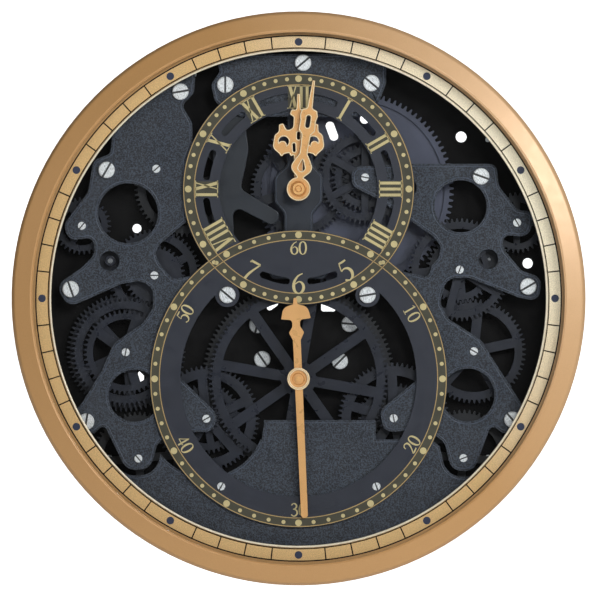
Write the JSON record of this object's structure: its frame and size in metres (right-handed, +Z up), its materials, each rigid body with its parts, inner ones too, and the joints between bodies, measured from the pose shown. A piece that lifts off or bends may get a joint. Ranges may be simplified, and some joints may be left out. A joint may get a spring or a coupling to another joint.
{
  "type": "skeleton wall clock",
  "caption": "Round wall clock with a bronze bezel, two overlapping open dial rings, ornate hands and trains of turning gears, run by two battery drives behind the base plate.",
  "frame": {"origin": "on the wall plane, on the axis of the round case", "axes": "+Z up, +X to the viewer's right, -Y out of the wall towards the viewer; +Y goes into the wall"},
  "size_m": [0.3564, 0.0619, 0.3564],
  "materials": {
    "bronze_bezel": "satin bronze-gold paint",
    "light_gold_ring": "fine grained light gold paint with dark printed marks",
    "black_shell": "matt black moulded plastic",
    "clear_lens": "clear, smooth",
    "black_rubber": "matt",
    "textured_black": "black moulded plastic with a fine grained texture",
    "dark_plate": "matt dark brown-black moulded plastic",
    "blue_grey_plate": "smooth satin blue-grey moulded plastic",
    "dial_blue_grey": "satin dark blue-grey paint with pale gold print",
    "hand_gold": "satin gold paint",
    "nut_brass": "satin brass",
    "gear_slate": "satin dark slate moulded plastic",
    "gear_dark": "dark slate moulded plastic",
    "screw_steel": "bright nickel plate",
    "drive_black": "black moulded plastic",
    "drive_white": "white moulded plastic",
    "arbor_steel": "turned steel",
    "coil_copper": "enamelled copper winding",
    "board_green": "circuit board",
    "battery_wrap": "plain printed wrap"
  },
  "bodies": {
    "clock_body": {"back_shell": "black_shell", "bezel": "bronze_bezel", "lens": "clear_lens", "lens_gasket": "black_rubber", "chapter_ring": "light_gold_ring", "hanger": "screw_steel", "base_plate": "dark_plate", "fixed_toothed_disc": "blue_grey_plate", "left_bridge": "textured_black", "right_bridge": "textured_black", "bottom_bridge": "textured_black", "top_bridge": "textured_black", "centre_bridge": "blue_grey_plate", "upper_left_bracket": "blue_grey_plate", "dial_plate": "dial_blue_grey", "pillars": "screw_steel", "large_screws": "screw_steel", "small_screws": "screw_steel", "case_screws": "screw_steel", "bush_nuts": "nut_brass", "gear_pins": "screw_steel", "upper_drive_case": "drive_black", "upper_drive_cover": "drive_black", "lower_drive_case": "drive_black", "lower_drive_cover": "drive_black", "coils": "coil_copper", "stators": "arbor_steel", "circuit_boards": "board_green", "batteries": "battery_wrap", "battery_contacts": "arbor_steel"},
    "minute": {"minute_arbor": "arbor_steel", "minute_hand": "hand_gold", "hand_nut": "nut_brass"},
    "hour": {"hour_tube": "arbor_steel", "hour_hand": "hand_gold", "upper_centre_gear": "gear_slate"},
    "minute_wheel": {"minute_wheel": "drive_white"},
    "setting_knob": {"setting_knob": "drive_white"},
    "upper_step_wheel": {"upper_step_wheel": "drive_white"},
    "upper_rotor": {"upper_rotor": "drive_white"},
    "upper_right_gear": {"upper_right_gear": "gear_slate"},
    "seconds": {"seconds_arbor": "arbor_steel", "seconds_hand": "hand_gold", "great_wheel": "gear_slate", "great_wheel_rear": "gear_dark"},
    "lower_step_wheel": {"lower_step_wheel": "drive_white"},
    "lower_rotor": {"lower_rotor": "drive_white"},
    "left_lower_gear": {"left_lower_gear": "gear_slate"},
    "left_middle_gear": {"left_middle_gear": "gear_slate"},
    "left_bottom_gear": {"left_bottom_gear": "gear_dark"},
    "left_upper_gear": {"left_upper_gear": "gear_slate"},
    "left_idler_pinion": {"left_idler_pinion": "gear_slate"},
    "left_outer_gear": {"left_outer_gear": "gear_slate"},
    "left_hidden_gear": {"left_hidden_gear": "gear_dark"},
    "right_lower_gear": {"right_lower_gear": "gear_slate"},
    "right_middle_gear": {"right_middle_gear": "gear_slate"},
    "right_bottom_gear": {"right_bottom_gear": "gear_dark"},
    "right_upper_gear": {"right_upper_gear": "gear_slate"},
    "right_idler_pinion": {"right_idler_pinion": "gear_slate"},
    "right_outer_gear": {"right_outer_gear": "gear_slate"}
  },
  "joints": [
    {"name": "minute_turn", "type": "hinge", "parent": "clock_body", "child": "minute", "pos_m": [0, -0.03, 0.068], "axis": [0, 1, 0], "continuous": true},
    {"name": "hour_turn", "type": "hinge", "parent": "clock_body", "child": "hour", "pos_m": [0, -0.03, 0.068], "axis": [0, 1, 0], "continuous": true},
    {"name": "minute_wheel_turn", "type": "hinge", "parent": "clock_body", "child": "minute_wheel", "pos_m": [-0.01128, -0.03, 0.0721], "axis": [0, 1, 0], "continuous": true},
    {"name": "setting_knob_turn", "type": "hinge", "parent": "clock_body", "child": "setting_knob", "pos_m": [-0.01336, -0.03, 0.08392], "axis": [0, 1, 0], "continuous": true},
    {"name": "upper_step_wheel_turn", "type": "hinge", "parent": "clock_body", "child": "upper_step_wheel", "pos_m": [0.00873, -0.03, 0.07304], "axis": [0, 1, 0], "continuous": true},
    {"name": "upper_rotor_turn", "type": "hinge", "parent": "clock_body", "child": "upper_rotor", "pos_m": [0.01474, -0.03, 0.07905], "axis": [0, 1, 0], "continuous": true},
    {"name": "upper_right_gear_turn", "type": "hinge", "parent": "clock_body", "child": "upper_right_gear", "pos_m": [0.04136, -0.03, 0.07529], "axis": [0, 1, 0], "continuous": true},
    {"name": "seconds_turn", "type": "hinge", "parent": "clock_body", "child": "seconds", "pos_m": [0, -0.03, -0.05], "axis": [0, 1, 0], "continuous": true},
    {"name": "lower_step_wheel_turn", "type": "hinge", "parent": "clock_body", "child": "lower_step_wheel", "pos_m": [0.00883, -0.03, -0.0449], "axis": [0, 1, 0], "continuous": true},
    {"name": "lower_rotor_turn", "type": "hinge", "parent": "clock_body", "child": "lower_rotor", "pos_m": [0.0152, -0.03, -0.03854], "axis": [0, 1, 0], "continuous": true},
    {"name": "left_lower_gear_turn", "type": "hinge", "parent": "clock_body", "child": "left_lower_gear", "pos_m": [-0.05736, -0.03, -0.07482], "axis": [0, 1, 0], "continuous": true},
    {"name": "left_middle_gear_turn", "type": "hinge", "parent": "clock_body", "child": "left_middle_gear", "pos_m": [-0.10752, -0.03, -0.03348], "axis": [0, 1, 0], "continuous": true},
    {"name": "left_bottom_gear_turn", "type": "hinge", "parent": "clock_body", "child": "left_bottom_gear", "pos_m": [-0.09962, -0.03, -0.09962], "axis": [0, 1, 0], "continuous": true},
    {"name": "left_upper_gear_turn", "type": "hinge", "parent": "clock_body", "child": "left_upper_gear", "pos_m": [-0.08965, -0.03, 0.01429], "axis": [0, 1, 0], "continuous": true},
    {"name": "left_idler_pinion_turn", "type": "hinge", "parent": "clock_body", "child": "left_idler_pinion", "pos_m": [-0.1172, -0.03, 0.02335], "axis": [0, 1, 0], "continuous": true},
    {"name": "left_outer_gear_turn", "type": "hinge", "parent": "clock_body", "child": "left_outer_gear", "pos_m": [-0.13479, -0.03, 0.04514], "axis": [0, 1, 0], "continuous": true},
    {"name": "left_hidden_gear_turn", "type": "hinge", "parent": "clock_body", "child": "left_hidden_gear", "pos_m": [-0.07135, -0.03, 0.06933], "axis": [0, 1, 0], "continuous": true},
    {"name": "right_lower_gear_turn", "type": "hinge", "parent": "clock_body", "child": "right_lower_gear", "pos_m": [0.05913, -0.03, -0.07449], "axis": [0, 1, 0], "continuous": true},
    {"name": "right_middle_gear_turn", "type": "hinge", "parent": "clock_body", "child": "right_middle_gear", "pos_m": [0.10907, -0.03, -0.03288], "axis": [0, 1, 0], "continuous": true},
    {"name": "right_bottom_gear_turn", "type": "hinge", "parent": "clock_body", "child": "right_bottom_gear", "pos_m": [0.10252, -0.03, -0.09934], "axis": [0, 1, 0], "continuous": true},
    {"name": "right_upper_gear_turn", "type": "hinge", "parent": "clock_body", "child": "right_upper_gear", "pos_m": [0.10021, -0.03, 0.01785], "axis": [0, 1, 0], "continuous": true},
    {"name": "right_idler_pinion_turn", "type": "hinge", "parent": "clock_body", "child": "right_idler_pinion", "pos_m": [0.11809, -0.03, 0.02428], "axis": [0, 1, 0], "continuous": true},
    {"name": "right_outer_gear_turn", "type": "hinge", "parent": "clock_body", "child": "right_outer_gear", "pos_m": [0.13594, -0.03, 0.04714], "axis": [0, 1, 0], "continuous": true}
  ],
  "couplings": [
    {"joint": "hour_turn", "follows": "minute_turn", "ratio": 0.083333},
    {"joint": "minute_wheel_turn", "follows": "minute_turn", "ratio": -0.33333},
    {"joint": "setting_knob_turn", "follows": "minute_turn", "ratio": 1},
    {"joint": "upper_step_wheel_turn", "follows": "minute_turn", "ratio": -8},
    {"joint": "upper_rotor_turn", "follows": "minute_turn", "ratio": 60},
    {"joint": "upper_right_gear_turn", "follows": "minute_turn", "ratio": -0.1859},
    {"joint": "lower_step_wheel_turn", "follows": "seconds_turn", "ratio": -7.5},
    {"joint": "lower_rotor_turn", "follows": "seconds_turn", "ratio": 30},
    {"joint": "left_lower_gear_turn", "follows": "seconds_turn", "ratio": -7.3333},
    {"joint": "left_middle_gear_turn", "follows": "seconds_turn", "ratio": 7.1111},
    {"joint": "left_bottom_gear_turn", "follows": "seconds_turn", "ratio": 5.5},
    {"joint": "left_upper_gear_turn", "follows": "seconds_turn", "ratio": -13.037},
    {"joint": "left_idler_pinion_turn", "follows": "seconds_turn", "ratio": 21.333},
    {"joint": "left_outer_gear_turn", "follows": "seconds_turn", "ratio": -13.804},
    {"joint": "left_hidden_gear_turn", "follows": "seconds_turn", "ratio": 12.168},
    {"joint": "right_lower_gear_turn", "follows": "seconds_turn", "ratio": -6.1111},
    {"joint": "right_middle_gear_turn", "follows": "seconds_turn", "ratio": 6.4991},
    {"joint": "right_bottom_gear_turn", "follows": "seconds_turn", "ratio": 4.4253},
    {"joint": "right_upper_gear_turn", "follows": "seconds_turn", "ratio": -10.236},
    {"joint": "right_idler_pinion_turn", "follows": "seconds_turn", "ratio": 7.4444},
    {"joint": "right_outer_gear_turn", "follows": "seconds_turn", "ratio": -4.5494}
  ]
}
